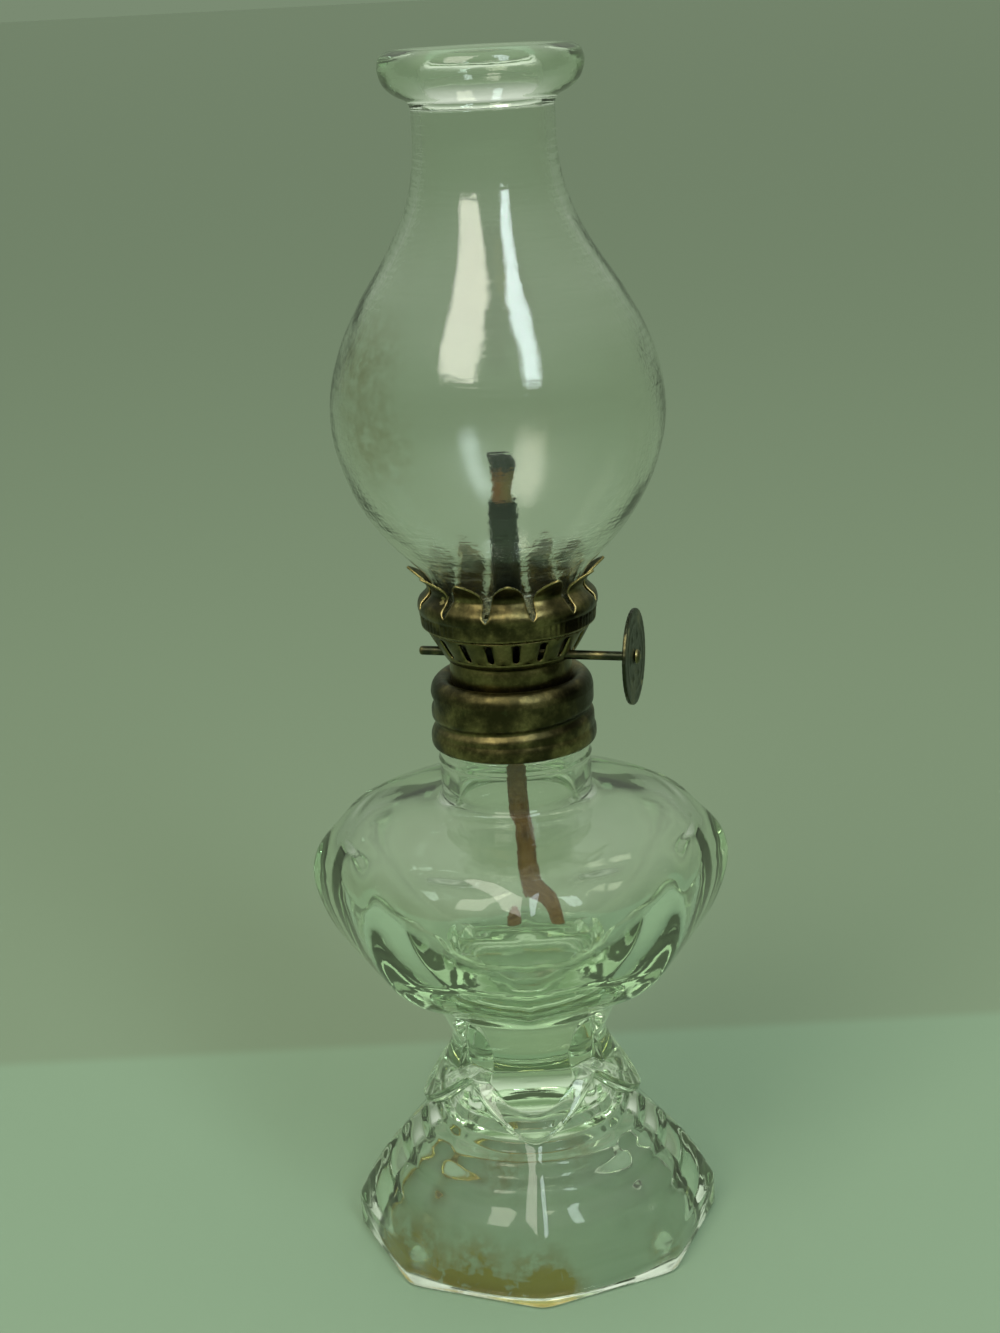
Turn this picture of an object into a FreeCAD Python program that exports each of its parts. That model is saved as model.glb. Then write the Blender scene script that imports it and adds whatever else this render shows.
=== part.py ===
import FreeCAD, Part
import math
import os

V = FreeCAD.Vector

# Driving dimensions, millimetres.
SIDES = 8
FOOT_R = 33.0            # foot, centre to corner
FOOT_BAND = 5.7          # height of the upright band round the foot
BOWL_R = 36.9            # font bowl, centre to corner
BOWL_BOTTOM = 45.2
BOWL_WIDEST = 70.6
PEDESTAL_Z = 29.2        # above the foot's hollow, where the solid pedestal begins
PANEL_R = 12.6           # floor of the arched panels in the pedestal
SHOULDER_Z = 83.1
NECK_Z = 84.2
NECK_R = 13.2
NECK_BORE = 10.3
NECK_TOP = 102.8
THREAD_Z = 93.2          # where the neck steps down for its thread
THREAD_ROOT = 12.3
THREAD_CREST = 13.1
THREAD_PITCH = 4.0
NECK_THREAD_LOW = 95.96  # mid height of each ridge where it begins
CAP_THREAD_LOW = 97.07
CAP_BOTTOM = 93.5
CAP_R = 13.95
CAP_INNER = 13.45
CAP_RIDGE = 12.65
CAP_PLATE = 104.4        # upper face of the cap's top plate
SHEET = 0.45             # burner sheet thickness
COLLAR_R = 10.3
BASKET_Z = 108.85
BASKET_R = 14.5
BASKET_SLOTS = 18
DECK_Z = 116.9
DECK_T = 0.4
CROWN_PRONGS = 12
TUBE_W = 5.0
TUBE_D = 3.4
TUBE_WALL = 0.35
TUBE_BOTTOM = 91.0
TUBE_TOP = 136.0
WICK_W = 3.7
WICK_D = 2.1
WICK_BOTTOM = 57.0
WICK_HANGS = 84.0        # below this height the tail leans over
WICK_LEAN = (4.5, -4.9)  # how far the tail's end is from the tube's axis, in the burner's own frame
SHAFT_R = 0.8
SHAFT_Y = -3.68          # the winder shaft runs in front of the wick tube
SHAFT_Z = 110.1
SHAFT_LEFT = -15.2
WHEEL_X = 22.3
WHEEL_R = 8.2
WHEEL_T = 0.8
FEED_R = 2.6
FEED_TEETH = 12
FEED_X = 1.1
BURNER_YAW = -16.0       # the burner as it sits on the font, degrees
CHIMNEY_Z = 117.4
CHIMNEY_WALL = 1.6
CHIMNEY_TOP = 210.3

APOTHEM = math.cos(math.pi / SIDES)
Z_AXIS = V(0, 0, 1)
ORIGIN = V(0, 0, 0)


def line(a, b):
    return Part.makeLine(V(a[0], 0, a[1]), V(b[0], 0, b[1]))


def curve(points):
    """A smooth edge through (r, z) points."""
    spline = Part.BSplineCurve()
    spline.interpolate([V(r, 0, z) for r, z in points])
    return spline.toShape()


def path(runs):
    """A closed wire: runs of three or more points are smooth, pairs are straight."""
    edges = []
    for run in runs:
        edges.append(line(run[0], run[1]) if len(run) == 2 else curve(run))
    return Part.Wire(Part.__sortEdges__(edges))


def turned(runs):
    """A solid turned about Z from a closed half section."""
    return Part.Face(path(runs)).revolve(ORIGIN, Z_AXIS, 360)


def polyline(points):
    """The straight runs that join points into a closed outline."""
    return [(points[i], points[(i + 1) % len(points)]) for i in range(len(points))]


def offset(points, distance):
    """Points moved sideways from a run, to the left of its direction when distance is positive."""
    moved = []
    for i, (r, z) in enumerate(points):
        a = points[max(i - 1, 0)]
        b = points[min(i + 1, len(points) - 1)]
        length = math.hypot(b[0] - a[0], b[1] - a[1])
        moved.append((r - (b[1] - a[1]) / length * distance, z + (b[0] - a[0]) / length * distance))
    return moved


def shell(points, thickness):
    """A turned sheet whose outer face passes through points, thickened inwards."""
    inner = offset(points, thickness)
    ends = [(points[-1], inner[-1]), (inner[0], points[0])]
    return turned([points, inner] + ends)


def mitred(half_section):
    """An eight-sided solid with a corner at -Y from smooth runs of (apothem, z)."""
    edges = []
    for run in half_section:
        edges.append(line(run[0], run[1]) if len(run) == 2 else curve(run))
    right = Part.Wire(Part.__sortEdges__(edges))
    left = right.mirror(ORIGIN, V(1, 0, 0))
    low = half_section[0][0]
    high = half_section[-1][-1]
    caps = [line((-low[0], low[1]), low), line((-high[0], high[1]), high)]
    outline = Part.Wire(Part.__sortEdges__(right.Edges + left.Edges + caps))
    bar = Part.Face(outline).extrude(V(0, 120, 0))
    bar.translate(V(0, -60, 0))
    solid = None
    for k in range(SIDES // 2):
        piece = bar.copy()
        piece.rotate(ORIGIN, Z_AXIS, 180.0 / SIDES + 360.0 / SIDES * k)
        solid = piece if solid is None else solid.common(piece)
    return solid


def racetrack(width, depth, z):
    """A closed oval wire: straight sides along X, round ends."""
    r = depth / 2.0
    x = width / 2.0 - r
    edges = [
        Part.makeLine(V(-x, -r, z), V(x, -r, z)),
        Part.Arc(V(x, -r, z), V(x + r, 0, z), V(x, r, z)).toShape(),
        Part.makeLine(V(x, r, z), V(-x, r, z)),
        Part.Arc(V(-x, r, z), V(-x - r, 0, z), V(-x, -r, z)).toShape(),
    ]
    return Part.Wire(edges)


def oval(width, depth, low, high):
    return Part.Face(racetrack(width, depth, low)).extrude(V(0, 0, high - low))


def cylinder(radius, length, centre, axis):
    return Part.makeCylinder(radius, length, centre, axis)


def thread(root, crest, low, start, turns, half_root, half_crest, buried):
    """A right-hand ridge that begins at height low and angle start, its foot sunk behind the root."""
    step = 1.0 if crest > root else -1.0
    back = root - step * buried
    section = [(back, low - half_root), (crest, low - half_crest), (crest, low + half_crest), (back, low + half_root)]
    wire = path(polyline(section))
    helix = Part.makeHelix(THREAD_PITCH, THREAD_PITCH * turns, root)
    helix.translate(V(0, 0, low))
    ridge = Part.Wire(helix.Edges).makePipeShell([wire], True, True)
    ridge.rotate(ORIGIN, Z_AXIS, start)
    return ridge


def placed(shape):
    """Turn a burner piece to where it sits on the font."""
    moved = shape.copy()
    moved.rotate(ORIGIN, Z_AXIS, BURNER_YAW)
    return moved


def foot_and_skirt():
    corners = [(FOOT_R, FOOT_BAND), (31.6, 8.4), (29.7, 11.9), (26.8, 15.9), (23.6, 19.3)]
    corners += [(20.3, 22.2), (17.8, 25.0), (16.0, 29.0), (14.8, 34.0)]
    flank = [(r * APOTHEM, z) for r, z in corners]
    band = [(FOOT_R * APOTHEM, 0), (FOOT_R * APOTHEM, FOOT_BAND)]
    return mitred([band, flank])


def petals():
    """Four rounded petals that hang over the skirt, with a waist above them."""
    outside = [(20.0, 23.5), (19.7, 25.5), (18.5, 28.1), (17.0, 31.6), (15.7, 34.4), (14.8, 37.0)]
    outside += [(14.6, 38.6), (15.1, 40.8), (15.8, 43.2), (16.3, 46.0)]
    drum = turned([outside, ((16.3, 46.0), (0, 46.0)), ((0, 46.0), (0, 23.5)), ((0, 23.5), (20.0, 23.5))])
    half_width = 13.0
    lowest = 24.4
    cusp = 33.2
    scallop = []
    for k in range(17):
        u = k / 8.0 - 1.0
        scallop.append(V(half_width * u, 0, lowest + (cusp - lowest) * abs(u) ** 1.5))
    edge = Part.BSplineCurve()
    edge.interpolate(scallop)
    top = [V(half_width, 0, cusp), V(half_width, 0, 46.5), V(-half_width, 0, 46.5), V(-half_width, 0, cusp)]
    outline = Part.Wire([edge.toShape()] + [Part.makeLine(top[i], top[i + 1]) for i in range(3)])
    pieces = []
    for k in range(4):
        mask = Part.Face(outline).extrude(V(0, -26, 0))
        mask.rotate(ORIGIN, Z_AXIS, 90 * k)
        pieces.append(drum.common(mask))
    return pieces


def arched_panels():
    """Cutters for the arch-topped panels between the petals."""
    width = 7.6
    low = 34.0
    spring = 41.3
    depth = 26.0 - PANEL_R
    cutters = []
    for k in range(4):
        block = Part.makeBox(width, depth, spring - low, V(-width / 2, -26, low))
        arch = cylinder(width / 2, depth, V(0, -26, spring), V(0, 1, 0))
        cutter = block.fuse(arch)
        cutter.rotate(ORIGIN, Z_AXIS, 45 + 90 * k)
        cutters.append(cutter)
    return cutters


def bowl():
    corners = [(16.4, BOWL_BOTTOM), (21.0, 48.3), (25.5, 51.0), (29.0, 53.8), (31.8, 57.0)]
    corners += [(34.2, 60.8), (35.8, 64.6), (36.7, 68.0), (BOWL_R, BOWL_WIDEST)]
    flank = [(r * APOTHEM, z) for r, z in corners]
    upright = [flank[-1], (BOWL_R * APOTHEM, SHOULDER_Z)]
    panelled = mitred([flank, upright])
    shoulder = [(BOWL_R, BOWL_WIDEST), (36.6, 72.6), (35.6, 75.2), (33.4, 77.8), (30.0, 80.2)]
    shoulder += [(25.5, 82.0), (20.0, 83.0), (14.6, SHOULDER_Z)]
    runs = [((0, 40), (BOWL_R, 40)), ((BOWL_R, 40), (BOWL_R, BOWL_WIDEST)), shoulder]
    runs += [((14.6, SHOULDER_Z), (0, SHOULDER_Z)), ((0, SHOULDER_Z), (0, 40))]
    return panelled.common(turned(runs))


def neck():
    points = [(0, 80), (14.9, 80), (14.9, 83.2), (13.9, 83.5), (NECK_R, 84.2), (NECK_R, 90.4), (13.4, 90.7)]
    points += [(13.4, 91.1), (NECK_R, 91.4), (NECK_R, 92.8), (12.9, THREAD_Z), (THREAD_ROOT, THREAD_Z)]
    points += [(THREAD_ROOT, NECK_TOP - 0.4), (11.9, NECK_TOP), (0, NECK_TOP)]
    ridge = thread(THREAD_ROOT, THREAD_CREST, NECK_THREAD_LOW, -130, 1.35, 0.8, 0.3, 0.3)
    return turned(polyline(points)).fuse(ridge)


def reservoir():
    """The hollow for the oil, with the bore of the neck."""
    wall = [(8.0, 53.0), (13.0, 53.9), (18.0, 55.4), (21.8, 57.2), (24.8, 59.4), (28.0, 62.8), (30.6, 67.2), (31.6, 71.2)]
    wall += [(30.6, 74.6), (27.0, 77.6), (20.0, 79.8), (13.0, 81.2), (NECK_BORE, 84.0)]
    runs = [((0, 53.0), (8.0, 53.0)), wall, ((NECK_BORE, 84.0), (NECK_BORE, 110))]
    runs += [((NECK_BORE, 110), (0, 110)), ((0, 110), (0, 53.0))]
    return turned(runs)


def foot_hollow():
    """The domed hollow under the foot."""
    wall = [(27.0, 0.0), (26.3, 5.0), (24.3, 10.4), (21.0, 15.4), (17.0, 19.7), (13.5, 22.6), (10.6, 24.6)]
    runs = [((0, -1), (27.0, -1)), ((27.0, -1), (27.0, 0.0)), wall]
    runs += [[(10.6, 24.6), (9.2, 25.8), (7.0, 26.3)], ((7.0, 26.3), (0, 26.3)), ((0, 26.3), (0, -1))]
    return turned(runs)


def glass_body():
    """The whole pressed-glass base: foot, pedestal, bowl and neck."""
    body = foot_and_skirt().fuse(petals() + [bowl(), neck()])
    return body.cut([reservoir(), foot_hollow()] + arched_panels())


def font_slices():
    """The glass base as its foot, pedestal, bowl and neck, face to face."""
    body = glass_body()
    levels = [-1, PEDESTAL_Z, BOWL_BOTTOM, NECK_Z, NECK_TOP + 1]
    slices = []
    for low, high in zip(levels, levels[1:]):
        slab = Part.makeBox(160, 160, high - low, V(-80, -80, low))
        slices.append(body.common(slab))
    return slices


def chimney():
    fitter = [(12.9, CHIMNEY_Z + 0.6), (12.9, 121.5)]
    bulb = [(12.9, 121.5), (13.3, 123.0), (14.7, 125.1), (16.8, 127.3), (19.2, 129.8), (21.5, 132.7)]
    bulb += [(23.5, 135.7), (25.0, 138.5), (26.1, 141.3), (27.0, 144.2), (27.8, 147.6), (28.1, 151.2)]
    bulb += [(27.9, 154.9), (27.4, 157.9), (26.5, 161.0), (25.4, 164.0), (24.2, 166.6), (22.9, 169.0)]
    bulb += [(21.5, 171.5), (19.8, 174.1), (18.2, 176.5), (16.4, 179.5), (14.8, 182.6), (13.6, 185.4)]
    bulb += [(12.7, 188.4), (12.1, 191.5), (11.75, 194.8), (11.7, 201.5)]
    inside = offset(bulb, CHIMNEY_WALL)
    lip = [(11.7, 201.5), (12.6, 202.4), (14.3, 203.3), (15.9, 204.8), (16.7, 207.2), (16.3, 209.2), (15.0, 210.2)]
    lip += [(13.5, CHIMNEY_TOP), (11.8, 209.8), (10.4, 208.2), (9.95, 205.5), inside[-1]]
    foot = [(12.9, CHIMNEY_Z + 0.6), (12.5, CHIMNEY_Z + 0.1), (12.1, CHIMNEY_Z), (11.6, CHIMNEY_Z + 0.15)]
    foot += [(11.3, CHIMNEY_Z + 0.7)]
    runs = [fitter, bulb, lip, inside, (inside[0], foot[-1]), foot]
    return turned(runs)


def cap_skirt():
    """The rolled wall and raised top ring of the cap, as a turned sheet."""
    wall = [(CAP_R, 96.2), (CAP_R, 103.2)]
    bead = [(CAP_INNER, CAP_BOTTOM), (14.1, CAP_BOTTOM + 0.1), (14.4, 94.4), (14.4, 95.4), (CAP_R, 96.2)]
    ring = [(CAP_R, 103.2), (13.7, 104.4), (13.1, 105.25), (12.4, 105.6), (11.6, 105.4), (10.4, CAP_PLATE)]
    under = [(10.2, CAP_PLATE - SHEET), (11.5, 104.85), (12.35, 105.1), (12.9, 104.8), (13.3, 104.1)]
    under += [(CAP_INNER, 103.2)]
    plate = [(10.4, CAP_PLATE), (0, CAP_PLATE), (0, CAP_PLATE - SHEET), (10.2, CAP_PLATE - SHEET)]
    runs = [bead, wall, ring] + [(plate[i], plate[i + 1]) for i in range(3)]
    runs += [under, ((CAP_INNER, 103.2), (CAP_INNER, CAP_BOTTOM))]
    return turned(runs)


def screw_cap():
    start = 150 - BURNER_YAW
    outside = thread(CAP_R, 14.35, CAP_THREAD_LOW, start - 180, 1.25, 0.8, 0.35, 0.25)
    inside = thread(CAP_INNER, CAP_RIDGE, CAP_THREAD_LOW, start, 1.15, 0.8, 0.3, 0.25)
    body = cap_skirt().fuse([outside, inside])
    return placed(body.cut(oval(TUBE_W, TUBE_D, 100, 110)))


def cap_seal():
    return turned(polyline([(10.5, 102.85), (12.5, 102.85), (12.5, 103.85), (10.5, 103.85)]))


def burner_collar():
    outside = [(COLLAR_R, CAP_PLATE), (10.55, 105.6), (10.6, 106.8), (10.5, 107.9), (COLLAR_R, BASKET_Z)]
    return placed(shell(outside, SHEET))


def basket_slot():
    """One slot cutter, pointing along +X."""
    half = 0.55
    low = 111.0
    high = 113.7
    block = Part.makeBox(6, 2 * half, high - low, V(10, -half, low))
    ends = [cylinder(half, 6, V(10, 0, z), V(1, 0, 0)) for z in (low, high)]
    return block.fuse(ends)


def basket():
    side = [(11.0, BASKET_Z), (11.35, 109.4), (12.3, 111.0), (13.3, 112.7), (14.1, 114.2), (BASKET_R, 115.2)]
    rim = [(BASKET_R, 115.2), (BASKET_R, DECK_Z)]
    inner = [(BASKET_R - SHEET, DECK_Z), (BASKET_R - SHEET, 115.3)]
    back = [(BASKET_R - SHEET, 115.3), (13.7, 114.4), (12.9, 112.9), (11.9, 111.2), (10.95, 109.6), (10.7, 109.3)]
    floor = [(10.7, 109.3), (7.7, 109.3), (7.7, BASKET_Z), (11.0, BASKET_Z)]
    runs = [side, rim, ((BASKET_R, DECK_Z), inner[0]), inner, back]
    runs += [(floor[i], floor[i + 1]) for i in range(3)]
    body = turned(runs)
    cutters = [cylinder(SHAFT_R + 0.15, 40, V(-20, SHAFT_Y, SHAFT_Z), V(1, 0, 0))]
    for k in range(BASKET_SLOTS):
        slot = basket_slot()
        slot.rotate(ORIGIN, Z_AXIS, 360.0 / BASKET_SLOTS * (k + 0.5))
        cutters.append(slot)
    return placed(body.cut(cutters))


def prong_gap():
    """The scalloped gap between two prongs, pointing along +X."""
    outline = [(0.0, 118.9), (0.7, 119.5), (1.25, 121.4), (2.1, 123.0), (3.6, 124.6), (5.0, 126.5)]
    edges = []
    for side in (1, -1):
        spline = Part.BSplineCurve()
        spline.interpolate([V(8, side * y, z) for y, z in outline])
        edges.append(spline.toShape())
    edges.append(Part.makeLine(V(8, 5.0, 126.5), V(8, -5.0, 126.5)))
    return Part.Face(Part.Wire(Part.__sortEdges__(edges))).extrude(V(14, 0, 0))


def gallery_crown():
    side = [(15.0, 115.1), (15.05, 116.4), (15.1, 117.3), (15.45, 118.0), (15.55, 118.7), (15.2, 119.7)]
    side += [(14.3, 120.7), (13.8, 121.5), (14.1, 122.5), (15.3, 123.7), (17.1, 125.0)]
    body = shell(side, 0.4)
    body = body.cut(turned(polyline([(0, 114), (14.5, 114), (14.5, 117.4), (0, 117.4)])))
    gaps = []
    for k in range(CROWN_PRONGS):
        gap = prong_gap()
        gap.rotate(ORIGIN, Z_AXIS, 360.0 / CROWN_PRONGS * (k + 0.5) - BURNER_YAW)
        gaps.append(gap)
    return placed(body.cut(gaps))


def air_plate():
    disc = turned(polyline([(0, DECK_Z), (BASKET_R, DECK_Z), (BASKET_R, DECK_Z + DECK_T), (0, DECK_Z + DECK_T)]))
    cutters = [oval(TUBE_W, TUBE_D, 110, 120)]
    for count, ring, hole in ((20, 9.6, 0.85), (12, 6.2, 0.85)):
        for k in range(count):
            angle = 2 * math.pi * (k + 0.5) / count
            centre = V(ring * math.cos(angle), ring * math.sin(angle), 110)
            cutters.append(cylinder(hole, 10, centre, Z_AXIS))
    return placed(disc.cut(cutters))


def wick_tube():
    taper = 133.4
    inner_w = TUBE_W - 2 * TUBE_WALL
    inner_d = TUBE_D - 2 * TUBE_WALL
    outer = oval(TUBE_W, TUBE_D, TUBE_BOTTOM, taper)
    mouth = Part.makeLoft([racetrack(TUBE_W, TUBE_D, taper), racetrack(TUBE_W - 0.3, TUBE_D - 0.3, TUBE_TOP)], True)
    bore = oval(inner_w, inner_d, TUBE_BOTTOM - 1, taper)
    bore_mouth = Part.makeLoft([racetrack(inner_w, inner_d, taper), racetrack(inner_w - 0.2, inner_d - 0.2, TUBE_TOP)], True)
    body = outer.fuse(mouth).cut([bore, bore_mouth])
    for x in (-FEED_X, FEED_X):
        body = body.cut(Part.makeBox(0.9, 1.2, 4.2, V(x - 0.45, -2.2, SHAFT_Z - 2.1)))
    return placed(body)


def wheel_housing():
    """A drum that carries the shaft; its back is shaped to the wick tube."""
    half = 2.3
    drum = cylinder(3.35, 2 * half, V(-half, SHAFT_Y, SHAFT_Z), V(1, 0, 0))
    hollow = cylinder(2.95, 2 * half - 0.8, V(-half + 0.4, SHAFT_Y, SHAFT_Z), V(1, 0, 0))
    hole = cylinder(SHAFT_R + 0.05, 8, V(-4, SHAFT_Y, SHAFT_Z), V(1, 0, 0))
    behind = Part.makeBox(10, 4, 10, V(-5, -0.9, SHAFT_Z - 5))
    return placed(drum.cut([hollow, hole, behind, oval(TUBE_W, TUBE_D, 100, 120)]))


def winder_shaft():
    rod = cylinder(SHAFT_R, WHEEL_X + WHEEL_T - SHAFT_LEFT, V(SHAFT_LEFT, SHAFT_Y, SHAFT_Z), V(1, 0, 0))
    return placed(rod)


def winder_rivet():
    """A domed head that closes the shaft over the wheel."""
    points = [(0, 0), (1.25, 0), (1.15, 0.35), (0.8, 0.6), (0, 0.7)]
    head = turned(polyline(points))
    head.rotate(ORIGIN, V(0, 1, 0), 90)
    head.translate(V(WHEEL_X + WHEEL_T, SHAFT_Y, SHAFT_Z))
    return placed(head)


def feed_wheels():
    wheels = []
    for x in (-FEED_X, FEED_X):
        points = []
        for k in range(2 * FEED_TEETH):
            radius = FEED_R if k % 2 == 0 else FEED_R - 0.6
            angle = math.pi * k / FEED_TEETH
            points.append(V(x - 0.225, SHAFT_Y + radius * math.cos(angle), SHAFT_Z + radius * math.sin(angle)))
        points.append(points[0])
        star = Part.Face(Part.makePolygon(points)).extrude(V(0.45, 0, 0))
        wheels.append(star.cut(cylinder(SHAFT_R, 6, V(-3, SHAFT_Y, SHAFT_Z), V(1, 0, 0))))
    return placed(Part.makeCompound(wheels))


def thumbwheel():
    """A stamped disc: rolled rim, raised ring, pips, and a hub on its inner face."""
    points = [(SHAFT_R, -0.7), (1.9, -0.7), (1.9, 0.0), (5.2, 0.0), (5.5, -0.2), (6.1, -0.2), (6.4, 0.0)]
    points += [(7.6, 0.0), (8.0, 0.1), (WHEEL_R, 0.35), (8.0, 0.7), (7.6, WHEEL_T), (6.4, WHEEL_T)]
    points += [(6.1, WHEEL_T - 0.2), (5.5, WHEEL_T - 0.2), (5.2, WHEEL_T), (SHAFT_R, WHEEL_T)]
    disc = turned(polyline(points))
    pips = []
    for k in range(6):
        angle = math.pi / 3 * k
        spot = V(3.6 * math.cos(angle), 3.6 * math.sin(angle), 0.25)
        pips.append(Part.makeSphere(0.7, spot))
    disc = disc.fuse(pips)
    disc.rotate(ORIGIN, V(0, 1, 0), 90)
    disc.translate(V(WHEEL_X, SHAFT_Y, SHAFT_Z))
    return placed(disc)


def wick_tail():
    """The part of the wick that hangs in the font, leaning over."""
    sections = []
    for k in range(6):
        t = k / 5.0
        section = racetrack(WICK_W, WICK_D, WICK_HANGS + (WICK_BOTTOM - WICK_HANGS) * t)
        section.translate(V(WICK_LEAN[0] * t ** 1.3, WICK_LEAN[1] * t ** 1.3, 0))
        sections.append(section)
    return Part.makeLoft(sections, True)


def wick():
    straight = oval(WICK_W, WICK_D, WICK_HANGS, 138.4)
    sections = [racetrack(WICK_W, WICK_D, 138.4)]
    for width, depth, z, shift in ((3.7, 2.2, 140.2, 0.3), (4.2, 2.5, 141.8, 0.4), (4.8, 2.8, 143.2, 0.2)):
        section = racetrack(width, depth, z)
        section.translate(V(shift, 0, 0))
        sections.append(section)
    tip = racetrack(3.4, 1.8, 144.2)
    tip.translate(V(-0.4, 0, 0))
    sections.append(tip)
    return placed(straight.fuse([wick_tail(), Part.makeLoft(sections, True)]))


PIECES = {
    "chimney": chimney,
    "screw_cap": screw_cap,
    "cap_seal": cap_seal,
    "burner_collar": burner_collar,
    "basket": basket,
    "gallery_crown": gallery_crown,
    "air_plate": air_plate,
    "wick_tube": wick_tube,
    "wheel_housing": wheel_housing,
    "winder_shaft": winder_shaft,
    "winder_rivet": winder_rivet,
    "feed_wheels": feed_wheels,
    "thumbwheel": thumbwheel,
    "wick": wick,
}

os.makedirs("parts", exist_ok=True)
for name, shape in zip(("font_foot", "font_pedestal", "font_bowl", "font_neck"), font_slices()):
    shape.exportStep(os.path.join("parts", name + ".step"))
for name, make in PIECES.items():
    make().exportStep(os.path.join("parts", name + ".step"))
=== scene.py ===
"""Looks of the small glass oil lamp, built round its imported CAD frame."""

import logging
import math
from dataclasses import dataclass
from enum import Enum
from typing import Callable, Iterable, Sequence

import bpy
from mathutils import Matrix, Vector, noise

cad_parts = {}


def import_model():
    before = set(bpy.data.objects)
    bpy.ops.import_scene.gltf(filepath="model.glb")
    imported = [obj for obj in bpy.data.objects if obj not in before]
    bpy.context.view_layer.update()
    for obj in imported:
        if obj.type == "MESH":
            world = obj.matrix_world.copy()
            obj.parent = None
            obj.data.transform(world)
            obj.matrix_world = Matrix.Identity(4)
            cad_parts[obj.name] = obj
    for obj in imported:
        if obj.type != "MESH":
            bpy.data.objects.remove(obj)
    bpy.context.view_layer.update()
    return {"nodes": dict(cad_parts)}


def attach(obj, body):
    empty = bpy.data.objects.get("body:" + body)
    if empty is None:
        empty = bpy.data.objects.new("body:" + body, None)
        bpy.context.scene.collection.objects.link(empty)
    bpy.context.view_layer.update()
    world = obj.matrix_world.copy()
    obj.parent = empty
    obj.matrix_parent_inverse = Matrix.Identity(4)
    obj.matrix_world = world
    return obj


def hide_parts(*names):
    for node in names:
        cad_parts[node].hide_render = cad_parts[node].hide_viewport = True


LOG = logging.getLogger("oil_lamp")
MM = 0.001
TAU = 2.0 * math.pi
BURNER_YAW = math.radians(-16.0)

# Stains on the glass: middle (x, y, z) and radius in millimetres, then strength.
FONT_STAINS = (
    (-25.0, -7.0, 3.0, 9.0, 1.0), (-20.0, -16.5, 3.0, 9.0, 1.2), (-11.0, -23.5, 3.0, 9.0, 1.2),
    (-1.0, -26.0, 3.0, 8.0, 1.0), (2.5, -26.4, 2.2, 3.5, 1.5), (20.4, -17.1, 2.5, 5.0, 0.9),
    (-5.0, -17.0, 18.0, 8.0, 0.7), (7.0, -14.5, 20.0, 6.0, 0.5),
)
CHIMNEY_STAINS = (
    (-23.0, -14.0, 163.0, 13.0, 0.6), (-20.0, -18.0, 151.0, 12.0, 0.5), (8.0, -14.0, 126.0, 9.0, 0.4),
    (-8.0, -14.0, 126.0, 9.0, 0.3), (-16.0, -4.0, 128.0, 9.0, 0.3), (17.0, -4.0, 128.0, 9.0, 0.3),
)

Pair = tuple[float, float]
Point = tuple[float, float, float]


class Body(Enum):
    """CAD bodies that the pieces ride on."""

    FONT = "font"
    BURNER = "burner"
    WINDER = "winder"
    WICK = "wick"
    CHIMNEY = "chimney"
    SEAL = "seal"


# ---------------------------------------------------------------- small sums


def mix(a: float, b: float, t: float) -> float:
    """Straight blend of two numbers.

    Args:
        a: value at t = 0.
        b: value at t = 1.
        t: position between them.

    Returns:
        The blended number.
    """
    return a + (b - a) * t


def step(low: float, high: float, x: float) -> float:
    """Smooth step from 0 at low to 1 at high.

    Args:
        low: where the step begins.
        high: where it ends.
        x: position.

    Returns:
        A number from 0 to 1.
    """
    t = min(max((x - low) / (high - low), 0.0), 1.0)
    return t * t * (3.0 - 2.0 * t)


def bump(x: float, width: float) -> float:
    """Bell curve of height 1.

    Args:
        x: distance from the middle.
        width: distance at which it has mostly died away.

    Returns:
        A number from 0 to 1.
    """
    return math.exp(-((x / width) ** 2) * 2.0)


def smooth(points: Sequence[Pair], per_span: int = 5) -> list[Pair]:
    """Round a run of points into a denser curve through them.

    Args:
        points: corner points (r, z).
        per_span: steps between two neighbours.

    Returns:
        The denser run, ends included.
    """
    out: list[Pair] = []
    for i in range(len(points) - 1):
        a = points[max(i - 1, 0)]
        b, c = points[i], points[i + 1]
        d = points[min(i + 2, len(points) - 1)]
        for k in range(per_span):
            t = k / per_span
            w = (
                -0.5 * t + t * t - 0.5 * t**3,
                1 - 2.5 * t * t + 1.5 * t**3,
                0.5 * t + 2 * t * t - 1.5 * t**3,
                -0.5 * t * t + 0.5 * t**3,
            )
            out.append(tuple(sum(w[j] * p[n] for j, p in enumerate((a, b, c, d))) for n in (0, 1)))
    out.append(tuple(points[-1]))
    return out


def lookup(points: Sequence[Pair], z: float) -> float:
    """Radius at a height on a run of (r, z) points with rising z.

    Args:
        points: the run.
        z: height.

    Returns:
        The radius, held at the ends.
    """
    if z <= points[0][1]:
        return points[0][0]
    for (r0, z0), (r1, z1) in zip(points, points[1:]):
        if z <= z1:
            return mix(r0, r1, (z - z0) / (z1 - z0))
    return points[-1][0]


def inward(points: Sequence[Pair], distance: float) -> list[Pair]:
    """Move a run of (r, z) points to the left of its direction.

    Args:
        points: the run.
        distance: how far, in millimetres.

    Returns:
        The moved run, in the same order.
    """
    out = []
    for i, (r, z) in enumerate(points):
        a, b = points[max(i - 1, 0)], points[min(i + 1, len(points) - 1)]
        length = math.hypot(b[0] - a[0], b[1] - a[1]) or 1.0
        out.append((r - (b[1] - a[1]) / length * distance, z + (b[0] - a[0]) / length * distance))
    return out


def octagon(theta: float, power: float) -> float:
    """Radius of a soft-cornered octagon whose corners have radius 1.

    Args:
        theta: angle, a corner being at 0.
        power: 2 gives a circle, large gives sharp corners.

    Returns:
        The radius at that angle.
    """
    eighth = TAU / 8.0

    def gauge(angle: float) -> float:
        sides = (max(0.0, math.cos(angle - eighth * (i + 0.5))) for i in range(8))
        return sum(side**power for side in sides) ** (-1.0 / power)

    return gauge(theta) / gauge(0.0)


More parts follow.
